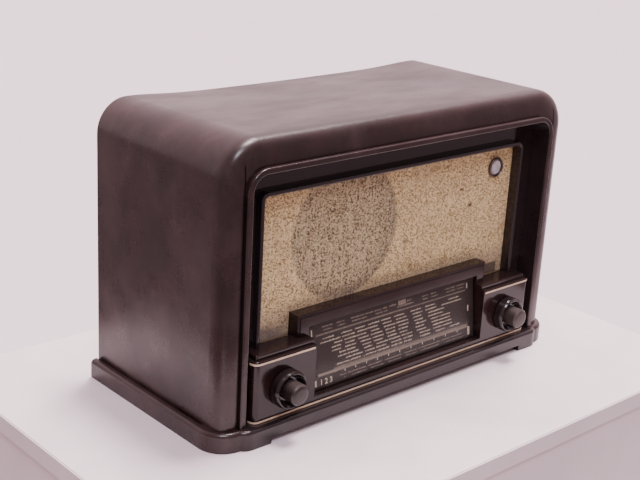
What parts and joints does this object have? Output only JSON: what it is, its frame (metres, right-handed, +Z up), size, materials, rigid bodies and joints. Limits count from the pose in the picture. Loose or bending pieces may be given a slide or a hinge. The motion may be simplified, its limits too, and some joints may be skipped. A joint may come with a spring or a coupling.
{
  "type": "valve table radio",
  "caption": "Moulded table radio with woven grille cloth, magic eye, sloping glass dial under a hood, and concentric control knobs.",
  "frame": {"origin": "on the surface that the set stands on, under the middle of its overall box", "axes": "+X right seen from the front, +Y from the front to the back, +Z up"},
  "size_m": [0.54, 0.261, 0.328],
  "materials": {
    "cabinet_bakelite": "dulled polish with faint flow streaks",
    "panel_bakelite": "polished",
    "knob_bakelite": "polished",
    "zinc_screw": "dull zinc plate",
    "pressed_card": "waxed pressed card",
    "black_rubber": "matt",
    "plywood": "bare",
    "grille_cloth": "coarse weave",
    "gilt_line": "rubbed gilt",
    "dial_glass": "tinted, printed on the back",
    "dial_paint": "satin",
    "lamp_brass": "dull",
    "lamp_glass": "clear",
    "bright_steel": "turned",
    "pointer_paint": "enamel",
    "drive_cord": "braided",
    "idler_plastic": "moulded",
    "drum_aluminium": "spun",
    "plated_steel": "cadmium plated",
    "phenolic_sheet": "laminate",
    "control_can": "black enamel",
    "socket_ceramic": "unglazed",
    "base_bakelite": "moulded",
    "valve_glass": "silvered and clear",
    "eye_glass": "fluorescent target behind clear glass",
    "can_aluminium": "drawn",
    "core_steel": "varnished laminations",
    "winding_paper": "varnished wrap",
    "socket_brass": "turned",
    "capacitor_plates": "bright",
    "surround_felt": "felt",
    "cone_paper": "pressed pulp",
    "eye_bezel": "dark enamel"
  },
  "bodies": {
    "root": {"cabinet_shell": "cabinet_bakelite", "plinth": "cabinet_bakelite", "cabinet_screws": "zinc_screw", "bottom_cover": "pressed_card", "rear_cover": "pressed_card", "rear_cover_screws": "zinc_screw", "lead_grommet": "black_rubber", "baffle_board": "plywood", "speaker_cloth": "grille_cloth", "control_panel": "panel_bakelite", "trim_lines": "gilt_line", "dial_glass": "dial_glass", "dial_backplate": "dial_paint", "lamp_holders": "lamp_brass", "dial_lamps": "lamp_glass", "pointer_rail": "bright_steel", "dial_cord": "drive_cord", "idler_pins": "bright_steel", "control_bracket": "plated_steel", "band_switch_wafer": "phenolic_sheet", "volume_control": "control_can", "tone_control": "control_can", "chassis": "plated_steel", "chassis_bolts": "zinc_screw", "valve_sockets": "socket_ceramic", "valve_bases": "base_bakelite", "valve_envelopes": "valve_glass", "if_transformer_cans": "can_aluminium", "mains_transformer_core": "core_steel", "mains_transformer_winding": "winding_paper", "smoothing_capacitors": "can_aluminium", "output_transformer": "winding_paper", "socket_strip": "phenolic_sheet", "aerial_sockets": "socket_brass", "voltage_selector": "base_bakelite", "capacitor_frame": "plated_steel", "capacitor_stator": "capacitor_plates", "speaker_basket": "plated_steel", "speaker_surround": "surround_felt", "speaker_magnet": "core_steel", "eye_ring": "eye_bezel", "eye_valve": "eye_glass", "eye_clip": "plated_steel", "eye_socket": "base_bakelite"},
    "tuning_control": {"tuning_shaft": "bright_steel", "tuning_knob": "knob_bakelite"},
    "capacitor": {"capacitor_rotor": "capacitor_plates", "tuning_drum": "drum_aluminium"},
    "pointer": {"dial_pointer": "pointer_paint"},
    "idler_left": {"cord_idler_left": "idler_plastic"},
    "idler_right": {"cord_idler_right": "idler_plastic"},
    "band_selector": {"band_knob": "knob_bakelite", "band_sleeve": "bright_steel", "band_switch_rotor": "phenolic_sheet"},
    "volume": {"volume_knob": "knob_bakelite", "volume_shaft": "bright_steel"},
    "tone": {"tone_knob": "knob_bakelite", "tone_sleeve": "bright_steel", "tone_wiper": "phenolic_sheet"},
    "cone": {"speaker_cone": "cone_paper"}
  },
  "joints": [
    {"name": "tuning_turn", "type": "hinge", "parent": "root", "child": "tuning_control", "pos_m": [0.178, -0.1035, 0.055], "axis": [0, 1, 0], "range_deg": [-1, 2251]},
    {"name": "capacitor_turn", "type": "hinge", "parent": "root", "child": "capacitor", "pos_m": [0.112, -0.0535, 0.112], "axis": [0, -1, 0], "range_deg": [0, 180]},
    {"name": "pointer_slide", "type": "slide", "parent": "root", "child": "pointer", "axis": [1, 0, 0], "range_m": [-0.0005, 0.208]},
    {"name": "idler_left_turn", "type": "hinge", "parent": "root", "child": "idler_left", "pos_m": [-0.126, -0.0555, 0.032], "axis": [0, -1, 0], "range_deg": [-5, 1985]},
    {"name": "idler_right_turn", "type": "hinge", "parent": "root", "child": "idler_right", "pos_m": [0.151, -0.0555, 0.032], "axis": [0, -1, 0], "range_deg": [-5, 1985]},
    {"name": "band_turn", "type": "hinge", "parent": "root", "child": "band_selector", "pos_m": [0.178, -0.1035, 0.055], "axis": [0, 1, 0], "range_deg": [0, 90]},
    {"name": "volume_turn", "type": "hinge", "parent": "root", "child": "volume", "pos_m": [-0.178, -0.1035, 0.055], "axis": [0, 1, 0], "range_deg": [0, 285]},
    {"name": "tone_turn", "type": "hinge", "parent": "root", "child": "tone", "pos_m": [-0.178, -0.1035, 0.055], "axis": [0, 1, 0], "range_deg": [0, 270]},
    {"name": "cone_travel", "type": "slide", "parent": "root", "child": "cone", "axis": [0, 1, 0], "range_m": [-0.001, 0.001], "stiffness_N_per_m": 1500}
  ],
  "couplings": [
    {"joint": "tuning_turn", "follows": "capacitor_turn", "ratio": 12.5},
    {"joint": "pointer_slide", "follows": "capacitor_turn", "m_per_rad": 0.066},
    {"joint": "idler_left_turn", "follows": "capacitor_turn", "ratio": 11},
    {"joint": "idler_right_turn", "follows": "capacitor_turn", "ratio": 11}
  ]
}
